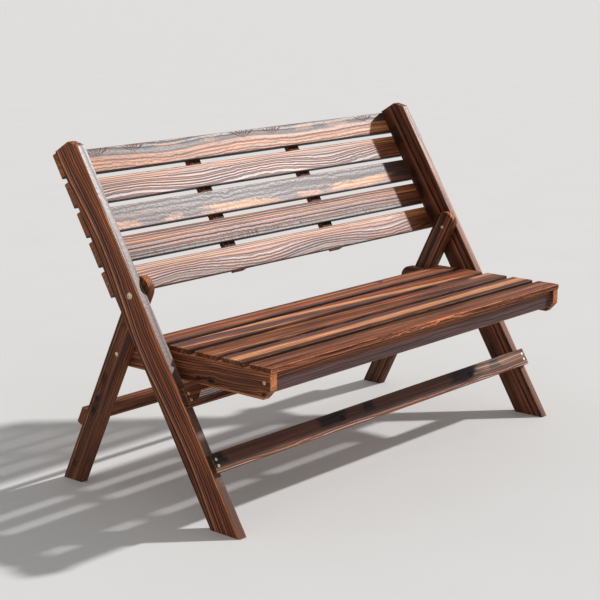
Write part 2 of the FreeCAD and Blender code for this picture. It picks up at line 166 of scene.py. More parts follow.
# Scales of the noises along, across and through a board
FIBRE_SCALE = (12, 620, 620)
STREAK_SCALE = (5, 150, 150)
PATCH_SCALE = (4, 45, 45)
FOLD_SCALE = (130, 240, 240)
CHECK_SCALE = (260, 40, 40)
WEAR_AND_HIGHLIGHT_SCALE = (30, 90, 90)
KNOT_SCALE = (120, 150, 150)
LONG_WAVE_SCALE = (3.6, 5, 5)
ROUGH_PART_SCALE = (5, 22, 22)
RIPPLE_SCALE = (22, 34, 34)
FINE_RIPPLE_SCALE = (100, 90, 90)

# Sockets of the shared groups that carry a point or direction, and those that carry how the rings grew
POINT_SOCKETS = {"Point", "Grain Point", "Place", "Centre", "Along", "Across", "Through"}
RING_SOCKETS = ("Seed", "Ring", "Heart", "Depth", "Drift", "Slope", "Wave", "Crest", "Wander", "Calm",
                "Ripple", "Late")


class Knot(NamedTuple):
    """One knot, measured from the board's middle; lengths in metres."""
    along: float
    across: float
    size: float = 0.010  # about its radius across the board
    rays: float = 0.0    # strength of the cracks that take the place of its dark core
    fan: float = 0.0     # 1 where they spread to one side only and no ring bends round it


class Band(NamedTuple):
    """A streak of other wood that runs along a board; lengths in metres."""
    colour: tuple
    at: float              # its place across the board
    half: float            # half its width
    strength: float = 0.8
    slope: float = 0.0     # how far it runs across per metre along
    broken: float = 0.0    # how far it tears into flames
    middle: float = 0.0    # place of its middle along the board
    reach: float = 9.0     # half its length
    weather: float = 1.0   # how much of it the weather side keeps
    bare: float = 0.25     # how far it lacks glaze
    hush: float = 0.4      # how far it hides the dark lines
    follows: bool = False  # whether it sways with the long waves of the grain


class Grain(NamedTuple):
    """How one board was cut, scorched and glazed; lengths in metres."""
    seed: float
    ring: float = 0.0075     # width of one growth ring
    heart: float = 0.01      # place of the tree's heart across the board
    depth: float = 0.05      # how far the heart lies from the board's middle, against its third axis
    drift: float = 0.0       # how fast that grows along the board
    slope: float = 0.0       # how far the grain runs across per metre along
    wave: float = 0.0        # height of the long even waves
    crest: float = 0.0       # place of one of their humps along the board
    wander: float = 0.010    # height of the long uneven waves
    calm: float = 1.0        # place across the board past which the long waves are gone
    ripple: float = 0.0015   # quick waviness of the rings
    late: float = 0.52       # share of each ring before its late wood sets in
    lines: float = 0.9       # strength of the dark late wood
    kept_lines: float = 1.0  # how much of it the weather side keeps
    relief: float = 0.0004   # height of the brushed rings
    wrinkle: float = 0.0     # height of the fine wrinkles of the weather side
    checks: float = 0.0      # strength of the short cracks along its lower edge
    bands: tuple = ()
    burnt_edge: float = 0.0  # strength of the char and painted shade on the lower or front arris
    end: float = 0.3         # lightness of the end grain
    knots: tuple = ()
    tone: float = 1.0        # lightness of the whole board
    glaze: float = 0.0       # strength of the glaze left on its weather side
    weathered: float = 0.0   # how far that side has turned grey
    shine: float = 0.15      # specular level of the wood


class Head(NamedTuple):
    """Domed head of a pivot bolt or nut with a hexagon socket; lengths in metres."""
    radius: float
    height: float
    steps: int        # rings of its dome
    socket: float     # radius of the hexagon
    rim: float = 0.0  # how much of its height is an upright rim
    groove: int = 0   # ring of the dome that is sunk, or 0


RAISED_HEAD = Head(0.0082, 0.004, 8, 0.0029, groove=5)
LOW_HEAD = Head(0.0052, 0.0014, 5, 0.0023)
NUT_FLANGE = Head(0.0048, 0.0012, 5, 0.0023, rim=0.35)


class Graph:
    """Short ways to add nodes to one node tree."""

    MIX_FIRST, MIX_SECOND, MIX_RESULT = 6, 7, 2  # the colour sockets of a mix node

    def __init__(self, tree):
        self.tree = tree

    def plug(self, socket, value):
        """Link a socket to another one, or set its value."""
        if isinstance(value, bpy.types.NodeSocket):
            self.tree.links.new(value, socket)
        else:
            socket.default_value = value

    def node(self, kind, inputs=None, **settings):
        """Add a node with its settings and inputs."""
        made = self.tree.nodes.new(kind)
        for key, value in settings.items():
            setattr(made, key, value)
        for key, value in (inputs or {}).items():
            self.plug(made.inputs[key], value)
        return made

    def math(self, operation, *values, clamp=False):
        """One step of arithmetic."""
        inputs = dict(enumerate(values))
        return self.node("ShaderNodeMath", inputs, operation=operation, use_clamp=clamp).outputs[0]

    def chain(self, operation, values, clamp=False):
        """One step of arithmetic after another, from the left."""
        total = values[0]
        for value in values[1:]:
            total = self.math(operation, total, value, clamp=clamp)
        return total

    def plus(self, *values, clamp=False):
        return self.chain("ADD", values, clamp)

    def times(self, *values):
        return self.chain("MULTIPLY", values)

    def most(self, *values):
        return self.chain("MAXIMUM", values)

    def minus(self, first, second):
        return self.math("SUBTRACT", first, second)

    def over(self, first, second, clamp=False):
        return self.math("DIVIDE", first, second, clamp=clamp)

    def rest(self, share):
        """What a share leaves of the whole."""
        return self.math("SUBTRACT", 1.0, share)

    def distance(self, first, second):
        """How far apart two numbers are."""
        return self.math("ABSOLUTE", self.minus(first, second))

    def vector(self, operation, *values):
        """One step of arithmetic on points; a length or a dot product comes back as a number."""
        made = self.node("ShaderNodeVectorMath", dict(enumerate(values)), operation=operation)
        return made.outputs["Value" if operation in ("DOT_PRODUCT", "LENGTH") else "Vector"]

    def split(self, point):
        """The three parts of a point."""
        return list(self.node("ShaderNodeSeparateXYZ", {0: point}).outputs)

    def joined(self, *parts):
        """Point with three parts."""
        return self.node("ShaderNodeCombineXYZ", dict(enumerate(parts))).outputs[0]

    def smooth(self, value, low, high, start=0.0, stop=1.0):
        """Ease from start to stop while a value goes from low to high."""
        inputs = {"Value": value, "From Min": low, "From Max": high, "To Min": start, "To Max": stop}
        return self.node("ShaderNodeMapRange", inputs, interpolation_type="SMOOTHSTEP").outputs["Result"]

    def mix(self, factor, first, second):
        """Blend two colours."""
        inputs = {"Factor": factor, self.MIX_FIRST: first, self.MIX_SECOND: second}
        return self.node("ShaderNodeMix", inputs, data_type="RGBA").outputs[self.MIX_RESULT]

    def noise(self, point, scale, detail=2.0, roughness=0.5):
        """Noise from 0 to 1, with its own scale in each direction."""
        inputs = {"Vector": self.vector("MULTIPLY", point, scale), "Scale": 1.0, "Detail": detail,
                  "Roughness": roughness}
        return self.node("ShaderNodeTexNoise", inputs).outputs["Fac"]

    def swing(self, point, scale, detail=2.0, roughness=0.5):
        """The same noise, from half below zero to half above it."""
        return self.minus(self.noise(point, scale, detail, roughness), 0.5)

    def bump(self, height):
        """Normal of a relief whose height is in metres."""
        return self.node("ShaderNodeBump", {"Height": height, "Strength": 1.0, "Distance": 1.0}).outputs[0]


def new_group(name, inputs, outputs):
    """Empty shader node group with named sockets, and the graph, input and output nodes inside it."""
    tree = bpy.data.node_groups.new(name, "ShaderNodeTree")
    for in_out, labels in (("INPUT", inputs), ("OUTPUT", outputs)):
        for label in labels:
            kind = "NodeSocketVector" if label in POINT_SOCKETS else "NodeSocketFloat"
            tree.interface.new_socket(label, in_out=in_out, socket_type=kind)
    graph = Graph(tree)
    return tree, graph, graph.node("NodeGroupInput").outputs, graph.node("NodeGroupOutput").inputs


def make_board_point():
    """Point of a board in metres along, across and through it, and masks of its ends and weather side."""
    tree, g, given, out = new_group("board point", ("Centre", "Along", "Across", "Through"),
                                    ("Point", "End Grain", "Weather Side"))
    place = g.node("ShaderNodeTexCoord").outputs
    offset = g.vector("SUBTRACT", place["Object"], given["Centre"])
    parts = [g.vector("DOT_PRODUCT", offset, given[axis]) for axis in ("Along", "Across", "Through")]
    g.plug(out["Point"], g.joined(*parts))
    facing = g.math("ABSOLUTE", g.vector("DOT_PRODUCT", place["Normal"], given["Along"]))
    g.plug(out["End Grain"], g.smooth(facing, 0.6, 0.9))
    weather = g.vector("DOT_PRODUCT", place["Normal"], tuple(-LONG_IN))
    g.plug(out["Weather Side"], g.smooth(weather, 0.80, 0.97))
    return tree


def make_knot():
    """Knot that pushes the rings apart about a dark core, or bursts into cracks."""
    tree, g, given, out = new_group("knot", ("Point", "Place", "Size", "Rays", "Fan"),
                                    ("Point", "Core", "Cracks"))
    offset = g.vector("SUBTRACT", given["Point"], given["Place"])
    along, across, _ = g.split(offset)
    wobble = g.times(g.swing(given["Point"], KNOT_SCALE, 3.0, 0.6), 0.9)
    squeezed = g.vector("MULTIPLY", offset, KNOT_SQUEEZE)
    away = g.plus(g.over(g.vector("LENGTH", squeezed), given["Size"]), wobble)

    spread = g.times(g.smooth(away, 2.6, 0.3), g.rest(given["Fan"]))
    push = g.joined(0.0, g.times(across, spread, -KNOT_PUSH))
    g.plug(out["Point"], g.vector("ADD", given["Point"], push))

    angle = g.math("ARCTAN2", across, along)
    ray = g.smooth(g.math("SINE", g.plus(g.times(angle, RAYS_PER_TURN), g.times(wobble, 6.0))), -0.2, 0.3)
    rise = g.minus(across, g.times(g.math("ABSOLUTE", along), 0.4))
    fan_side = g.rest(g.times(g.smooth(rise, 0.002, -0.002), given["Fan"]))
    g.plug(out["Cracks"], g.times(ray, g.smooth(away, 1.8, 1.1), given["Rays"], fan_side))
    g.plug(out["Core"], g.times(g.smooth(away, 0.95, 0.45), g.rest(given["Rays"])))
    return tree


def make_growth_rings():
    """Growth rings about a wandering heart: their dark lines, brushed ridges and a tone for each ring."""
    tree, g, given, out = new_group("growth rings", ("Point",) + RING_SOCKETS,
                                    ("Grain Point", "Late Wood", "Ring Tone", "Ridge", "Sway"))
    along, across, through = g.split(given["Point"])
    in_tree = g.joined(*(g.times(given["Seed"], stride) for stride in SEED_STRIDES))
    point = g.vector("ADD", given["Point"], in_tree)

    turn = g.times(g.minus(along, given["Crest"]), 2 * math.pi / WAVE_LENGTH)
    even = g.times(g.math("COSINE", turn), given["Wave"])
    uneven = g.times(g.swing(point, LONG_WAVE_SCALE, 1.0), g.times(given["Wander"], 2.0))
    to_calm = g.over(g.minus(given["Calm"], across), CALM_REACH, clamp=True)
    slow = g.times(g.minus(uneven, even), to_calm)
    quick = g.plus(g.swing(point, RIPPLE_SCALE, 1.0), g.times(g.swing(point, FINE_RIPPLE_SCALE, 1.0), 0.5))
    rough = g.smooth(g.noise(point, ROUGH_PART_SCALE, 1.0), 0.40, 0.62, 0.35, 1.6)
    sway = g.plus(slow, g.times(quick, rough, g.times(given["Ripple"], 2.0)))

    slanted = g.minus(across, g.times(along, given["Slope"]))
    aside = g.minus(g.plus(slanted, sway), given["Heart"])
    below = g.plus(through, given["Depth"], g.times(along, given["Drift"]))
    radius = g.math("SQRT", g.plus(g.times(aside, aside), g.times(below, below)))
    years = {"W": g.plus(g.times(radius, YEAR_SCALE), given["Seed"]), "Scale": 1.0, "Detail": 1.0}
    growth = g.node("ShaderNodeTexNoise", years, noise_dimensions="1D").outputs["Fac"]
    phase = g.plus(g.over(radius, given["Ring"]), g.times(g.minus(growth, 0.5), YEAR_SPREAD))
    saw = g.math("FRACT", phase)
    number = g.plus(g.math("FLOOR", phase), given["Seed"])
    tone = g.node("ShaderNodeTexWhiteNoise", {"W": number}, noise_dimensions="1D").outputs["Value"]

    g.plug(out["Late Wood"], g.times(g.smooth(saw, given["Late"], LATE_FULL), g.smooth(saw, 1.0, 0.93)))
    g.plug(out["Ridge"], g.times(g.smooth(saw, 0.0, 0.25), g.smooth(saw, 1.0, 0.55)))
    g.plug(out["Ring Tone"], tone)
    g.plug(out["Grain Point"], point)
    g.plug(out["Sway"], slow)
    return tree


def make_streaks():
    """How far the bands of a board sway across it, and how far they may tear."""
    tree, g, given, out = new_group("streaks", ("Grain Point",), ("Shift", "Torn"))

    def sway(scale, reach):
        return g.times(g.swing(given["Grain Point"], scale), reach)

    g.plug(out["Shift"], g.plus(sway((2.0, 4, 4), 0.012), sway((24, 260, 260), 0.006)))
    g.plug(out["Torn"], g.plus(sway((8, 60, 60), 0.05), sway((150, 70, 70), 0.03)))
    return tree


def make_soft_band():
    """Mask of a band that runs along a board with feathered edges, whole or torn into flames."""
    tree, g, given, out = new_group(
        "soft band", ("Point", "Shift", "Torn", "At", "Half Width", "Slope", "Broken", "Middle", "Reach"),
        ("Mask",))
    along, across, _ = g.split(given["Point"])
    middle_line = g.plus(given["At"], g.times(along, given["Slope"]))
    torn = g.times(given["Torn"], given["Broken"])
    aside = g.plus(g.distance(g.plus(across, given["Shift"]), middle_line), torn)
    beyond = g.plus(g.distance(along, given["Middle"]), g.times(torn, 3.0))
    inside = g.smooth(g.over(aside, given["Half Width"]), 1.3, 0.6)
    g.plug(out["Mask"], g.times(inside, g.smooth(g.over(beyond, given["Reach"]), 1.1, 0.6)))
    return tree


def make_edge_wear_and_highlight():
    """Mask of the worn arrises of a board of a given half length, width and thickness, which also serves as
    their painted highlight.
    """
    halves = ("Half Length", "Half Width", "Half Thickness")
    tree, g, given, out = new_group("edge wear", ("Point", "Grain Point") + halves, ("Mask",))
    near = [g.smooth(g.minus(given[half], g.math("ABSOLUTE", part)), *WORN_AND_HIGHLIGHT_REACH)
            for half, part in zip(halves, g.split(given["Point"]))]
    edges = g.most(g.times(near[0], near[1]), g.times(near[0], near[2]), g.times(near[1], near[2]))
    patchy = g.smooth(g.noise(given["Grain Point"], WEAR_AND_HIGHLIGHT_SCALE, 3.0, 0.6), 0.3, 0.6)
    g.plug(out["Mask"], g.times(edges, patchy))
    return tree


GROUPS = {"point": make_board_point(), "knot": make_knot(), "rings": make_growth_rings(),
          "streaks": make_streaks(), "band": make_soft_band(), "wear": make_edge_wear_and_highlight()}


def use_group(g, key, inputs):
    """Place one of the shared groups in a material, with its values."""
    return g.node("ShaderNodeGroup", inputs, node_tree=GROUPS[key]).outputs


def new_material(name):
    """Empty material, and the graph of its nodes."""
    material = bpy.data.materials.new(name)
    material.use_nodes = True
    material.node_tree.nodes.clear()
    return material, Graph(material.node_tree)


def close_material(g, inputs):
    """Give a material its surface."""
    surface = g.node("ShaderNodeBsdfPrincipled", inputs)
    g.plug(g.node("ShaderNodeOutputMaterial").inputs["Surface"], surface.outputs[0])


def between(first, second, share):
    """Colour at a share of the way between two colours."""
    return tuple(a + (b - a) * share for a, b in zip(first, second))


class ScorchedBoard:
    """Material of one scorched board, cut from its own part of the tree."""

    def __init__(self, name, centre, axes, half_size, grain):
        self.material, self.g = new_material("scorched " + name)
        self.grain = grain
        self.half_size = half_size
        self.bare = 0.0
        self.quiet = 0.0
        self.read_wood(centre, axes)
        self.paint_early_wood()
        self.paint_bands()
        self.paint_end_grain()
        self.paint_late_wood()
        self.paint_wear_and_highlight()
        self.paint_cracks()
        self.shade()
        self.finish()

    def read_wood(self, centre, axes):
        """Find the place in the board, the knots, the rings and the fibres."""
        g = self.g
        place = use_group(g, "point", {"Centre": centre, "Along": axes[0], "Across": axes[1],
                                       "Through": axes[2]})
        self.point = place["Point"]
        self.across = g.split(self.point)[1]
        self.weather = place["Weather Side"]
        self.end_grain = place["End Grain"]
        moved = self.place_knots()
        growth = {label: getattr(self.grain, label.lower()) for label in RING_SOCKETS}
        self.rings = use_group(g, "rings", {"Point": moved} | growth)
        self.grain_point = self.rings["Grain Point"]
        self.fibre = g.noise(self.grain_point, FIBRE_SCALE, 3.0, 0.6)
        self.patch = g.noise(self.grain_point, PATCH_SCALE, 3.0, 0.55)

    def place_knots(self):
        """Chain the knots: each pushes the point on, and adds to the cores and cracks."""
        point = self.point
        self.core = self.cracks = 0.0
        for knot in self.grain.knots:
            made = use_group(self.g, "knot", {"Point": point, "Place": (knot.along, knot.across, 0),
                                              "Size": knot.size, "Rays": knot.rays, "Fan": knot.fan})
            point = made["Point"]
            self.core = self.g.most(self.core, made["Core"])
            self.cracks = self.g.most(self.cracks, made["Cracks"])
        return point

    def paint_early_wood(self):
        """Early wood, dark or warm from ring to ring, and grey on the weather side."""
        g = self.g
        warmth = g.plus(g.times(self.rings["Ring Tone"], 0.65), g.smooth(self.patch, 0.3, 0.75, -0.15, 0.55),
                        clamp=True)
        self.colour = g.mix(warmth, EARLY_DARK, EARLY_WARM)
        self.lay(g.times(self.weather, self.grain.weathered), WEATHERED)

    def lay(self, mask, colour):
        """Lay a colour over the wood where a mask is full."""
        self.colour = self.g.mix(mask, self.colour, colour)

    def fade_on_weather_side(self, mask, kept):
        """Mask of which the weather side keeps only a share."""
        return mask if kept == 1 else self.g.times(mask, self.g.smooth(self.weather, 0.0, 1.0, 1.0, kept))

    def paint_bands(self):
        """Lay the bands, and mark where they bare the wood and quieten its lines."""
        g = self.g
        streaks = use_group(g, "streaks", {"Grain Point": self.grain_point})
        for band in self.grain.bands:
            shift = g.plus(streaks["Shift"], self.rings["Sway"]) if band.follows else streaks["Shift"]
            mask = use_group(g, "band", {
                "Point": self.point, "Shift": shift, "Torn": streaks["Torn"], "At": band.at,
                "Half Width": band.half, "Slope": band.slope, "Broken": band.broken, "Middle": band.middle,
                "Reach": band.reach})["Mask"]
            part = self.fade_on_weather_side(g.times(mask, band.strength), band.weather)
            self.lay(part, band.colour)
            self.bare = g.most(self.bare, g.times(part, band.bare))
            self.quiet = g.most(self.quiet, g.times(part, band.hush))

    def paint_end_grain(self):
        """Ends of the board, darker or paler than its faces."""
        ends = between(END_DARK, END_PALE, self.grain.end)
        self.lay(self.g.times(self.end_grain, END_COVER), ends)

    def paint_late_wood(self):
        """Dark lines of late wood, weaker where a band quietens them."""
        g = self.g
        late = self.fade_on_weather_side(self.rings["Late Wood"], self.grain.kept_lines)
        self.line = g.times(late, g.times(g.rest(self.quiet), self.grain.lines))
        self.lay(self.line, LATE_WOOD)

    def paint_wear_and_highlight(self):
        """Paler wood on the arrises: partly wear, partly a painted highlight of light catching them."""
        wear = use_group(self.g, "wear", {
            "Point": self.point, "Grain Point": self.grain_point, "Half Length": self.half_size[0],
            "Half Width": self.half_size[1], "Half Thickness": self.half_size[2]})["Mask"]
        self.lay(self.g.times(wear, WEAR_AND_HIGHLIGHT_COVER), ARRIS)

    def paint_cracks(self):
        """Cracks, dark knots, and the char and painted shade of the lower or front arris."""
        g, grain = self.g, self.grain
        if grain.checks:
            short = g.smooth(g.noise(self.grain_point, CHECK_SCALE, 1.0), 0.56, 0.64)
            low = g.smooth(self.across, *CHECKS_REACH)
            self.cracks = g.most(self.cracks, g.times(short, low, grain.checks))
        self.lay(self.cracks, RAY)
        start, full = (reach - self.half_size[1] for reach in EDGE_CHAR_AND_SHADE_REACH)
        # Painted shade: the lower or front arris is darkened like char, standing in for the shade along it
        self.core = g.most(self.core, g.times(g.smooth(self.across, start, full), grain.burnt_edge))
        self.lay(self.core, CHAR_AND_SHADE)

    def shade(self):
        """Lighter and darker fibres and streaks."""
        g, tone = self.g, self.grain.tone
        streak = g.noise(self.grain_point, STREAK_SCALE)
        light = g.times(g.smooth(self.fibre, 0.25, 0.75, 0.82, 1.18),
                        g.smooth(streak, 0.3, 0.7, 0.74 * tone, 1.26 * tone))
        self.colour = g.node("ShaderNodeVectorMath", {0: self.colour, "Scale": light},
                             operation="SCALE").outputs["Vector"]

    def relief(self):
        """Normal of the brushed rings, the fibres and the wrinkles, whose folds hold less glaze."""
        g, grain = self.g, self.grain
        height = g.plus(g.times(self.rings["Ridge"], grain.relief), g.times(self.fibre, FIBRE_HEIGHT))
        if grain.wrinkle:
            folds = g.noise(self.grain_point, FOLD_SCALE, 2.0, 0.6)
            height = g.plus(height, g.times(folds, self.weather, grain.wrinkle))
            self.bare = g.most(self.bare, g.smooth(folds, 0.52, 0.36, 0.0, 0.2))
        return g.bump(height)

    def glazed(self):
        """Mask of the glaze: the weather side, apart from its bands, lines, cracks, knots and furrows."""
        g = self.g
        furrows = g.smooth(self.rings["Ridge"], 0.7, 0.1, 0.0, 0.35)
        bare = g.most(self.bare, g.times(self.line, 0.8), g.times(self.cracks, 0.9), g.times(self.core, 0.9),
                      furrows)
        return g.times(self.weather, g.rest(bare))

    def finish(self):
        """Join the colour, the relief and the glaze in one surface."""
        g, grain = self.g, self.grain
        normal = self.relief()
        dry = g.plus(g.times(self.fibre, 0.6), g.times(self.patch, 0.4))
        roughness = g.smooth(dry, 0.25, 0.75, 0.45, 0.68)
        film = 0.0
        if grain.glaze:
            glazed = self.glazed()
            film = g.times(glazed, grain.glaze)
            roughness = g.plus(g.times(roughness, g.rest(glazed)), g.times(glazed, GLAZE_ROUGHNESS))
        close_material(g, {
            "Base Color": self.colour, "Roughness": roughness, "Normal": normal,
            "Specular IOR Level": grain.shine, "IOR": 1.5, "Coat Weight": film,
            "Coat Roughness": GLAZE_ROUGHNESS, "Coat IOR": GLAZE_IOR})


def dress_board(node, grain):
    """Give a CAD board its own scorched material."""
    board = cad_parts[node]
    axes = next(axes for kind, axes in AXES.items() if node.startswith(kind))
    centre = Vector()
    half_size = []
    for axis in axes:
        reach = [axis.dot(vertex.co) for vertex in board.data.vertices]
        centre += axis * (max(reach) + min(reach)) / 2
        half_size.append((max(reach) - min(reach)) / 2)
    board.material_slots[0].material = ScorchedBoard(node, centre, axes, half_size, grain).material


def seat_grain(seed, **cut):
    """Grain of a seat slat."""
    return Grain(seed, late=0.40, shine=0.08, end=0.05, **cut)


def flames(colour, broken, *places, **more):
    """Bands torn into flames, from their places across, half widths, strengths, middles and reaches."""
    return tuple(Band(colour, at, half, strength, broken=broken, middle=middle, reach=reach, **more)
                 for at, half, strength, middle, reach in places)


def fans(*places):
    """Fans of cracks on an upper arris, from their places along, across and sizes."""
    return tuple(Knot(*place, rays=1.0, fan=1.0) for place in places)


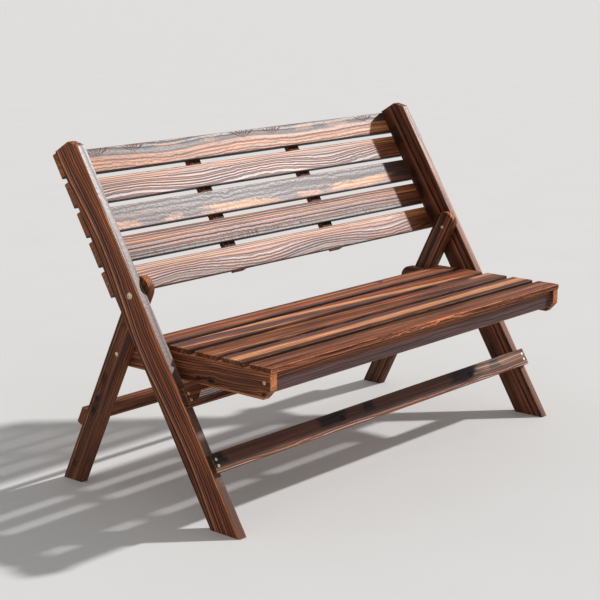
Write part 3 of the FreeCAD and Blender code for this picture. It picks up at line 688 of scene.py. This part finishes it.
# How each board was cut and finished
BOARDS = {
    # Back slats, from the top down
    # The dark lower arris of each slat is partly char and partly painted shade
    "back_slat_1": Grain(
        1.0, ring=0.0075, heart=0.012, depth=0.020, drift=0.004, wave=0.004, wander=0.006, ripple=0.003,
        lines=0.45, relief=0.0005, glaze=0.057, shine=0.14, weathered=0.70, wrinkle=0.0004, burnt_edge=0.9,
        bands=(
            Band(WEATHERED, 0.021, 0.015, 0.75, hush=1.0, bare=0.0, follows=True),
            Band(FLAME, -0.015, 0.016, 0.60, hush=0.9, follows=True),
            Band(TAN, 0.003, 0.0025, 0.8, follows=True),
            Band(TAN, -0.012, 0.0030, 0.7, bare=0.0, hush=0.8, follows=True),
            Band(RUST, -0.004, 0.0020, 0.6, follows=True),
            Band(RUST, -0.024, 0.003, 0.5),
            *flames(
                TAN, 0.4, (0.016, 0.006, 0.45, -0.26, 0.045), (0.018, 0.006, 0.45, -0.115, 0.04),
                (0.017, 0.006, 0.35, 0.24, 0.04), (0.016, 0.006, 0.45, 0.37, 0.045))),
        knots=fans(
            (-0.485, 0.008, 0.020), (-0.37, 0.009, 0.016), (0.005, 0.008, 0.020), (0.115, 0.009, 0.016),
            (0.49, 0.009, 0.017))),
    "back_slat_2": Grain(
        2.0, ring=0.0078, heart=-0.06, depth=0.03, wave=0.008, crest=0.03, wander=0.008, calm=0.024,
        ripple=0.0020, late=0.46, lines=0.76, relief=0.0009, glaze=0.078, shine=0.27, burnt_edge=0.9,
        bands=(
            Band(FLAME, 0.023, 0.009, 0.7, bare=0.45),
            Band(RUST, 0.0120, 0.0055, 0.45, bare=0.5, hush=0.0),
            Band(HONEY, 0.018, 0.0013, 0.5, bare=0.6),
            Band(RUST, 0.002, 0.012, 0.40, hush=0.1, follows=True))),
    "back_slat_3": Grain(
        3.0, ring=0.012, heart=0.004, depth=0.016, drift=0.006, wander=0.014, ripple=0.006, lines=0.12,
        relief=0.00015, glaze=0.095, shine=0.16, weathered=0.8, wrinkle=0.00045, burnt_edge=0.8,
        bands=(
            Band(RAY, -0.001, 0.0012, 0.5, bare=0.6),
            Band(DUSK, -0.018, 0.012, 0.5, broken=0.3),
            *flames(HONEY, 0.5, (-0.015, 0.010, 0.75, -0.10, 0.14), (-0.015, 0.010, 0.75, 0.37, 0.14)),
            *flames(
                TAN, 0.5, (-0.016, 0.008, 0.65, -0.48, 0.05), (-0.018, 0.007, 0.65, -0.325, 0.04),
                (-0.018, 0.007, 0.65, 0.16, 0.045)),
            Band(RUST, -0.024, 0.0025, 0.8, slope=0.02, middle=-0.12, reach=0.2),
            Band(RUST, -0.029, 0.0025, 0.8, slope=0.02, middle=0.36, reach=0.2))),
    "back_slat_4": Grain(
        4.0, ring=0.0100, heart=-0.08, depth=0.025, wander=0.005, ripple=0.0016, late=0.56, lines=0.76,
        relief=0.0010, glaze=0.055, shine=0.21, wrinkle=0.0002, burnt_edge=0.9, checks=0.9,
        bands=(
            Band(FLAME, 0.012, 0.005, 0.7),
            Band(RUST, 0.001, 0.006, 0.3),
            Band(WEATHERED, -0.023, 0.010, 0.55, hush=0.8))),
    "back_slat_5": Grain(
        5.0, ring=0.0072, heart=-0.06, depth=0.03, wave=0.0085, crest=0.12, wander=0.008, calm=0.020,
        ripple=0.0020, late=0.46, lines=0.76, relief=0.0009, glaze=0.088, shine=0.34, burnt_edge=0.6,
        bands=(
            Band(FLAME, 0.021, 0.013, 0.75, bare=0.4, hush=0.45),
            Band(RUST, 0.0070, 0.0055, 0.45, bare=0.5, hush=0.0),
            Band(RUST, -0.023, 0.005, 0.45, bare=0.6, hush=0.0),
            Band(HONEY, 0.018, 0.0013, 0.5, bare=0.6),
            Band(RUST, -0.004, 0.012, 0.40, hush=0.1, follows=True))),
    # Legs
    "long_leg_left": Grain(
        6.0, ring=0.0068, heart=-0.16, depth=0.10, late=0.42, lines=1.0, wave=0.007, crest=-0.285,
        calm=0.045, wander=0.006, tone=1.2, glaze=0.245, weathered=0.8, kept_lines=0.15, wrinkle=0.0006,
        bands=(
            # Painted shade: the foot of the front face darkened and reddened, where its sheen fades
            Band(SOOT_AND_SHADE, 0.044, 0.009, 0.85, middle=-0.50, reach=0.20, bare=1.0, hush=0.0),
            Band(RUST, 0.044, 0.009, 0.13, middle=-0.50, reach=0.20, bare=1.0, hush=0.0),
            Band(RUST, 0.004, 0.012, 0.40, weather=0.0, hush=0.0, follows=True),
            Band(DUSK, -0.009, 0.005, 0.45, weather=0.0, hush=0.0, follows=True),
            Band(CHAR_AND_SHADE, -0.0265, 0.0018, 0.6, weather=0.0, follows=True),
            Band(TAN, -0.019, 0.0018, 0.30, weather=0.0, follows=True),
            Band(RUST, 0.035, 0.008, 0.9, weather=0.0, hush=0.3, follows=True),
            # Painted highlight: a thin pale line along the front arris, where the sun would catch a rounded
            # edge
            Band(TAN, 0.0357, 0.0012, 0.8, weather=0.0, hush=0.8))),
    "long_leg_right": Grain(
        7.0, ring=0.0060, heart=-0.16, depth=0.09, slope=-0.018, wander=0.006, late=0.40, lines=0.6,
        glaze=0.20, wrinkle=0.0004, kept_lines=0.5, tone=0.86,
        bands=(
            Band(EARLY_DARK, -0.022, 0.016, 0.85, weather=0.0, hush=1.0),
            Band(EARLY_WARM, 0.002, 0.004, 0.35, slope=-0.018, weather=0.0),
            Band(CHAR_AND_SHADE, 0.0115, 0.0028, 0.8, slope=-0.018, weather=0.0),
            Band(EARLY_WARM, 0.020, 0.004, 0.3, slope=-0.018, weather=0.0),
            Band(CHAR_AND_SHADE, 0.0285, 0.0030, 0.8, slope=-0.018, weather=0.0),
            *flames(
                CHAR_AND_SHADE, 0.5, (-0.026, 0.010, 0.6, 0.155, 0.02), (-0.022, 0.012, 0.7, 0.25, 0.045),
                (-0.020, 0.012, 0.7, 0.395, 0.030), (-0.024, 0.010, 0.6, -0.27, 0.030), weather=0.0))),
    # The pale end grain of its rounded top is partly a painted highlight of the sun on it
    "rear_leg_left": Grain(
        8.0, ring=0.0045, heart=0.10, depth=0.09, tone=0.70, wander=0.006, lines=0.6, end=0.9,
        bands=(
            Band(TAN, 0.0187, 0.0015, 0.5),
            Band(CHAR_AND_SHADE, 0.0235, 0.0015, 0.5),
            *flames(
                CHAR_AND_SHADE, 0.4, (0.010, 0.008, 0.6, -0.24, 0.014), (0.010, 0.008, 0.6, -0.063, 0.030),
                (0.010, 0.007, 0.6, 0.010, 0.012), (0.008, 0.007, 0.5, 0.165, 0.010))),
        knots=(Knot(-0.080, 0.0107, 0.008), Knot(-0.045, 0.0107, 0.008))),
    # The pale end grain of its rounded top is partly a painted highlight of the sun on it
    "rear_leg_right": Grain(
        9.0, ring=0.009, heart=0.10, depth=0.09, wander=0.006, tone=0.8, end=0.9,
        bands=(
            Band(TAN, 0.0177, 0.0020, 0.4),
            Band(DUSK, 0.006, 0.0070, 0.6),
            Band(CHAR_AND_SHADE, 0.006, 0.0050, 0.55),
            Band(EARLY_WARM, -0.0073, 0.0065, 0.8),
            Band(CHAR_AND_SHADE, -0.0173, 0.0022, 0.6),
            Band(SOOT_AND_SHADE, 0.0, 0.05, 0.45, middle=-0.26, reach=0.16))),
    # Seat slats, from the front back
    # The dark front arris of each seat slat is partly char and partly painted shade of the gap before it
    "seat_slat_1": seat_grain(
        10.0, ring=0.0042, heart=0.15, depth=0.13, wander=0.030, ripple=0.003, tone=1.45,
        bands=(
            Band(RUST, -0.022, 0.008, 0.40),
            Band(FLAME, 0.010, 0.002, 0.3, slope=-0.02),
            Band(DUSK, 0.001, 0.005, 0.5, slope=-0.02),
            Band(SOOT_AND_SHADE, 0.022, 0.007, 0.75, broken=0.12))),
    "seat_slat_2": seat_grain(
        11.0, ring=0.007, heart=0.10, depth=0.09, lines=0.8, wander=0.006, tone=1.3, burnt_edge=0.6,
        bands=(
            Band(DUSK, 0.022, 0.009, 0.7),
            Band(TAN, -0.003, 0.013, 0.9),
            Band(HONEY, -0.002, 0.003, 0.4),
            Band(RUST, -0.011, 0.0018, 0.6),
            Band(SOOT_AND_SHADE, -0.024, 0.006, 0.8, broken=0.12))),
    "seat_slat_3": seat_grain(
        12.0, ring=0.006, heart=0.15, depth=0.13, slope=-0.05, tone=1.45, wander=0.016, burnt_edge=0.7,
        bands=(
            Band(RUST, 0.012, 0.006, 0.6, slope=-0.05),
            Band(DUSK, 0.0, 0.03, 0.5, middle=0.5, reach=0.35),
            Band(SOOT_AND_SHADE, 0.002, 0.007, 0.7, slope=-0.05, broken=0.12),
            Band(TAN, -0.046, 0.002, 0.8, slope=-0.05),
            Band(TAN, 0.020, 0.007, 0.8, middle=0.53, reach=0.08))),
    "seat_slat_4": seat_grain(
        13.0, ring=0.008, heart=-0.12, depth=0.10, slope=-0.075, lines=0.8, wander=0.006, tone=1.35,
        burnt_edge=0.8,
        bands=(
            Band(RUST, 0.030, 0.018, 0.6, slope=-0.075),
            Band(DUSK, -0.024, 0.010, 0.85, slope=-0.075),
            Band(TAN, 0.003, 0.009, 0.9, slope=-0.075),
            Band(TAN, -0.048, 0.004, 0.7, slope=-0.075))),
    "seat_slat_5": seat_grain(
        14.0, ring=0.008, heart=0.12, depth=0.10, lines=0.8, tone=1.45, burnt_edge=0.8,
        bands=(
            Band(RUST, 0.000, 0.014, 0.5),
            Band(TAN, 0.012, 0.0025, 0.4),
            Band(DUSK, -0.027, 0.007, 0.6),
            Band(SOOT_AND_SHADE, 0.028, 0.005, 0.8, broken=0.12)),
        knots=(Knot(-0.14, 0.026, 0.006), Knot(-0.05, 0.026, 0.006), Knot(0.27, 0.014, 0.008))),
    # Seat rails and apron
    "seat_rail_left": Grain(
        15.0, ring=0.0042, heart=0.10, depth=0.09, slope=-0.04, tone=1.15, end=0.9,
        bands=(Band(FLAME, -0.028, 0.003, 0.6),),
        knots=(Knot(-0.075, -0.016, 0.008), Knot(-0.037, -0.016, 0.007), Knot(-0.228, -0.018, 0.007))),
    "seat_rail_right": Grain(16.0, ring=0.0050, heart=0.10, depth=0.09, tone=0.9, end=0.9),
    "seat_apron": Grain(
        17.0, ring=0.0055, heart=0.10, wander=0.010, ripple=0.002, lines=0.9, tone=0.86,
        bands=(Band(DUSK, -0.012, 0.018, 0.9), Band(FLAME, 0.015, 0.006, 0.3))),
    # Stretchers and crossbar
    # Its darkest end grain is partly char and partly painted shade on the end faces
    "front_stretcher": Grain(
        18.0, ring=0.009, heart=0.10, lines=0.6, glaze=0.032, tone=0.62, end=0.0,
        bands=(
            Band(EARLY_WARM, -0.016, 0.006, 0.7),
            Band(EARLY_DARK, 0.009, 0.015, 0.8, hush=0.6),
            Band(DUSK, 0.009, 0.014, 0.35),
            Band(RUST, 0.009, 0.014, 0.26),
            Band(CHAR_AND_SHADE, -0.0075, 0.0018, 0.5),
            Band(TAN, 0.004, 0.012, 0.45, middle=0.50, reach=0.12),
            *flames(
                CHAR_AND_SHADE, 0.25, (0.012, 0.016, 0.95, -0.59, 0.03), (0.013, 0.017, 0.95, -0.205, 0.055),
                (0.013, 0.014, 0.95, -0.068, 0.024), (0.010, 0.018, 0.95, 0.315, 0.065)),
            Band(CHAR_AND_SHADE, 0.008, 0.012, 0.65, broken=0.3, middle=0.457, reach=0.022)),
        knots=(Knot(-0.17, 0.004, 0.008), Knot(0.345, 0.002, 0.010))),
    # Its darkest end grain is partly char and partly painted shade on the end faces
    "seat_rest_crossbar": Grain(19.0, ring=0.0055, glaze=0.27, end=0.0, tone=0.75, heart=0.10, lines=1.0),
    "rear_stretcher": Grain(20.0, ring=0.007, tone=0.9),
    # Battens
    "back_batten_left": Grain(21.0, tone=0.6),
    "back_batten_right": Grain(22.0, tone=0.6),
    "seat_batten_left": Grain(23.0),
    "seat_batten_right": Grain(24.0),
}


def zinc_plating(name, colour, roughness):
    """Zinc plating with fine scuffs and duller patches."""
    material, g = new_material(name)
    place = g.node("ShaderNodeTexCoord").outputs["Object"]
    dull = g.noise(place, (260, 260, 260), 3.0, 0.6)
    scuff = g.noise(place, (2500, 700, 1500))
    dull_colour = tuple(part * DULL_ZINC for part in colour[:3]) + (1,)
    rough = g.smooth(g.plus(dull, g.times(scuff, 0.4)), 0.4, 1.0, roughness, roughness + DULL_ROUGHER)
    close_material(g, {"Base Color": g.mix(g.smooth(dull, 0.35, 0.7), colour, dull_colour),
                       "Roughness": rough, "Metallic": 1.0, "Normal": g.bump(g.times(scuff, SCUFF_HEIGHT))})
    return material


def plain_beech():
    """Pale beech of the hidden dowels."""
    material, g = new_material("plain beech")
    place = g.node("ShaderNodeTexCoord").outputs["Object"]
    streak = g.noise(place, (900, 900, 40), 3.0, 0.6)
    close_material(g, {"Base Color": g.mix(g.smooth(streak, 0.3, 0.7), *BEECH_COLOURS), "Roughness": 0.6})
    return material


def link_object(name, data):
    """New object in the scene."""
    made = bpy.data.objects.new(name, data)
    bpy.context.scene.collection.objects.link(made)
    return made


def mesh_data(name, mesh):
    """Mesh data made from a mesh in the making, which it frees."""
    data = bpy.data.meshes.new(name)
    mesh.to_mesh(data)
    mesh.free()
    return data


def turned(profile):
    """Mesh of a round piece whose (radius, distance) profile turns about +Z."""
    mesh = bmesh.new()
    rings = []
    for radius, distance in profile:
        if radius == 0:
            rings.append([mesh.verts.new((0, 0, distance))])
            continue
        turns = [2 * math.pi * step / ROUND_SEGMENTS for step in range(ROUND_SEGMENTS)]
        rings.append([mesh.verts.new((radius * math.cos(t), radius * math.sin(t), distance)) for t in turns])
    for low, high in zip(rings, rings[1:]):
        for step in range(ROUND_SEGMENTS):
            corners = [ring[(step + turn) % len(ring)] for ring, turn in
                       ((low, 0), (low, 1), (high, 1), (high, 0))]
            mesh.faces.new(list(dict.fromkeys(corners)))
    bmesh.ops.recalc_face_normals(mesh, faces=mesh.faces)
    return mesh


def with_recess(mesh, cutters):
    """Mesh data of a head with a recess cut by bars or a prism."""
    head = link_object("head", mesh_data("head", mesh))
    for cutter in cutters:
        tool = link_object("cutter", mesh_data("cutter", cutter))
        boolean = head.modifiers.new("recess", "BOOLEAN")
        boolean.operation = "DIFFERENCE"
        boolean.object = tool
        boolean.solver = "EXACT"
        bpy.context.view_layer.update()
        shaped = head.evaluated_get(bpy.context.evaluated_depsgraph_get())
        cut = bpy.data.meshes.new_from_object(shaped)
        head.modifiers.clear()
        head.data = cut
        bpy.data.objects.remove(tool)
    result = head.data
    bpy.data.objects.remove(head)
    return result


def prism(sides, radius, depth):
    """Tapered prism that reaches from just over a head down to a depth."""
    mesh = bmesh.new()
    bmesh.ops.create_cone(mesh, cap_ends=True, segments=sides, radius1=radius, radius2=radius * SOCKET_TAPER,
                          depth=depth + PRISM_CLEARANCE)
    bmesh.ops.translate(mesh, verts=mesh.verts, vec=(0, 0, (depth - PRISM_CLEARANCE) / 2))
    return mesh


def bar(length, width, depth, turn):
    """Tapered bar, one arm pair of a cross recess."""
    mesh = bmesh.new()
    bmesh.ops.create_cube(mesh, size=1.0)
    bmesh.ops.scale(mesh, verts=mesh.verts, vec=(length, width, depth + BAR_CLEARANCE))
    bmesh.ops.translate(mesh, verts=mesh.verts, vec=(0, 0, (depth - BAR_CLEARANCE) / 2))
    for vertex in mesh.verts:
        if vertex.co.z > 0:
            vertex.co.x *= CROSS_TAPER
    bmesh.ops.rotate(mesh, verts=mesh.verts, matrix=Matrix.Rotation(turn, 3, "Z"))
    return mesh


def screw_data(radius, length):
    """Countersunk screw with a slightly raised, cross-recessed head; +Z runs into the wood."""
    profile = [(radius * out, -SCREW_CROWN * up) for out, up in CROWN_OUTLINE]
    profile += [(radius, 0), (SCREW_SHANK, radius - SCREW_SHANK), (SCREW_SHANK, length - SCREW_TIP_LENGTH),
                (SCREW_TIP_RADIUS, length), (0, length)]
    arms = [bar(radius * CROSS_LENGTH, radius * CROSS_WIDTH, CROSS_DEPTH, turn) for turn in (0, math.pi / 2)]
    return with_recess(turned(profile), arms)


def islands(mesh):
    """Groups of points of a mesh that hang together."""
    graph = bmesh.new()
    graph.from_mesh(mesh)
    bmesh.ops.remove_doubles(graph, verts=graph.verts, dist=SAME_POINT)
    left = set(graph.verts)
    groups = []
    while left:
        queue = [left.pop()]
        group = []
        while queue:
            vertex = queue.pop()
            group.append(vertex.co.copy())
            for edge in vertex.link_edges:
                other = edge.other_vert(vertex)
                if other in left:
                    left.remove(other)
                    queue.append(other)
        groups.append(group)
    graph.free()
    return groups


def place_along(seat, inward, turn):
    """Matrix that stands a piece's +Z along a direction at a point, turned about it."""
    matrix = inward.to_track_quat("Z", "Y").to_matrix().to_4x4()
    return Matrix.Translation(seat) @ matrix @ Matrix.Rotation(turn, 4, "Z")


def put_piece(name, mesh, body, material, node):
    """Link a finished mesh as a piece that rides on a body and stands for a node."""
    data = mesh_data(name, mesh)
    data.materials.append(material)
    for polygon in data.polygons:
        polygon.use_smooth = True
    data.set_sharp_from_angle(angle=SHARP_ANGLE)
    piece = link_object(name, data)
    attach(piece, body)
    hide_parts(node)


def middle_of(group):
    """Middle of a group of points."""
    return sum(group, Vector()) / len(group)


def fine_screws(node, body, material, inward=None):
    """Replace a node of plain screws by detailed ones that run inward, or in from the nearer side."""
    joined = bmesh.new()
    groups = islands(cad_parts[node].data)
    groups.sort(key=lambda group: tuple(round(part, 4) for part in middle_of(group)))
    made = {}
    for number, group in enumerate(groups):
        direction = inward
        if inward is None:
            direction = -X if middle_of(group).x > 0 else X
        reach = [direction.dot(point) for point in group]
        rim = [point for point, far in zip(group, reach) if far < min(reach) + SAME_HEIGHT]
        seat = middle_of(rim)
        radius = round(max((point - seat).length for point in rim) * SCREW_HEAD_SHARE, 5)
        length = round(max(reach) - min(reach), 5)
        if (radius, length) not in made:
            made[radius, length] = screw_data(radius, length)
        screw = made[radius, length].copy()
        screw.transform(place_along(seat, direction, number * SCREW_TURN))
        joined.from_mesh(screw)
    put_piece("fine_" + node, joined, body, material, node)


def head_profile(head):
    """Outline of a head from its top to its underside."""
    profile = [(0, 0)]
    ball = (head.radius ** 2 + head.height ** 2) / 2 / head.height
    flatter = 1 - head.rim
    for step in range(1, head.steps + 1):
        radius = head.radius * step / head.steps
        drop = ball - math.sqrt(ball * ball - radius * radius)
        profile.append((radius, drop * flatter + (GROOVE_DEPTH if step == head.groove else 0.0)))
    if head.rim:
        profile.append((head.radius, head.height))
    return profile


def fine_pivot(node, body, head, inward, material):
    """Replace a pivot bolt or nut by one with a finer head; inward runs from the head along its shank."""
    low, high = (Vector(corner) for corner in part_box(node))
    length = high.x - low.x
    start = (low + high) / 2 - inward * length / 2
    shank = [(PIVOT_SHANK, head.height), (PIVOT_SHANK, length), (0, length)]
    socket = prism(6, head.socket, min(head.height * SOCKET_SHARE, SOCKET_DEEPEST))
    mesh = bmesh.new()
    mesh.from_mesh(with_recess(turned(head_profile(head) + shank), [socket]))
    mesh.transform(place_along(start, inward, SOCKET_TURN))
    put_piece("fine_" + node, mesh, body, material, node)


def make_stage():
    """Pale floor that reaches to the horizon."""
    data = bpy.data.meshes.new("floor")
    half = FLOOR_SIZE / 2
    data.from_pydata([(-half, -half, 0), (half, -half, 0), (half, half, 0), (-half, half, 0)], [],
                     [(0, 1, 2, 3)])
    floor = link_object("floor", data)
    material, g = new_material("pale floor")
    place = g.node("ShaderNodeTexCoord").outputs["Object"]
    close_material(g, {"Base Color": g.mix(g.noise(place, (3, 3, 3), 4.0, 0.6), *FLOOR_COLOURS),
                       "Roughness": 0.9, "Specular IOR Level": 0.2})
    data.materials.append(material)


def make_lights():
    """Soft sun from the right and an even sky."""
    lamp = bpy.data.lights.new("sun", "SUN")
    lamp.energy = SUN_STRENGTH
    lamp.angle = SUN_SOFTNESS
    link_object("sun", lamp).rotation_euler = TOWARDS_SUN.to_track_quat("Z", "Y").to_euler()
    world = bpy.data.worlds.new("sky")
    bpy.context.scene.world = world
    world.use_nodes = True
    world.node_tree.nodes.clear()
    g = Graph(world.node_tree)
    rays = g.node("ShaderNodeLightPath").outputs
    seen = g.plus(rays["Is Camera Ray"], rays["Is Glossy Ray"], rays["Is Transmission Ray"], clamp=True)
    strength = g.smooth(seen, 0.0, 1.0, SKY_STRENGTH, BACKGROUND_STRENGTH)
    sky = g.node("ShaderNodeBackground", {"Color": (1, 1, 1, 1), "Strength": strength})
    g.plug(g.node("ShaderNodeOutputWorld").inputs["Surface"], sky.outputs[0])


def make_camera():
    """Camera at the photograph's place and angle."""
    lens = bpy.data.cameras.new("camera")
    lens.lens = CAMERA_LENS
    lens.sensor_width = CAMERA_SENSOR
    lens.clip_end = 2 * FLOOR_SIZE
    camera = link_object("camera", lens)
    camera.location = CAMERA_PLACE
    camera.rotation_euler = (math.pi / 2 + CAMERA_PITCH, 0, -CAMERA_YAW)
    bpy.context.scene.camera = camera


make_stage()
make_lights()
make_camera()

for node, grain in BOARDS.items():
    dress_board(node, grain)
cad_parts["seat_dowels"].material_slots[0].material = plain_beech()

PIVOT_METAL = zinc_plating("pivot zinc", PIVOT_ZINC, 0.28)
SCREW_METAL = zinc_plating("screw zinc", SCREW_ZINC, 0.45)
YELLOW_SCREW_METAL = zinc_plating("yellow screw zinc", YELLOW_ZINC, 0.40)

fine_screws("front_stretcher_screws", "front_frame", SCREW_METAL, LONG_IN)
fine_screws("seat_rest_screws", "front_frame", YELLOW_SCREW_METAL, LONG_IN)
fine_screws("back_slat_screws", "front_frame", SCREW_METAL, -LONG_IN)
fine_screws("back_batten_screws", "front_frame", SCREW_METAL, -LONG_IN)
fine_screws("rear_stretcher_screws", "rear_frame", SCREW_METAL, -REAR_BACK)
fine_screws("seat_batten_screws", "seat", SCREW_METAL, Z)
fine_screws("apron_screws", "seat", YELLOW_SCREW_METAL)

for side, outward in (("left", -X), ("right", X)):
    fine_pivot("leg_pivot_bolt_" + side, "front_frame", RAISED_HEAD, -outward, PIVOT_METAL)
    fine_pivot("seat_pivot_bolt_" + side, "rear_frame", LOW_HEAD, -outward, PIVOT_METAL)
    fine_pivot("leg_pivot_nut_" + side, "front_frame", NUT_FLANGE, outward, PIVOT_METAL)
    fine_pivot("seat_pivot_nut_" + side, "rear_frame", NUT_FLANGE, outward, PIVOT_METAL)

bpy.context.scene.view_settings.view_transform = "Standard"
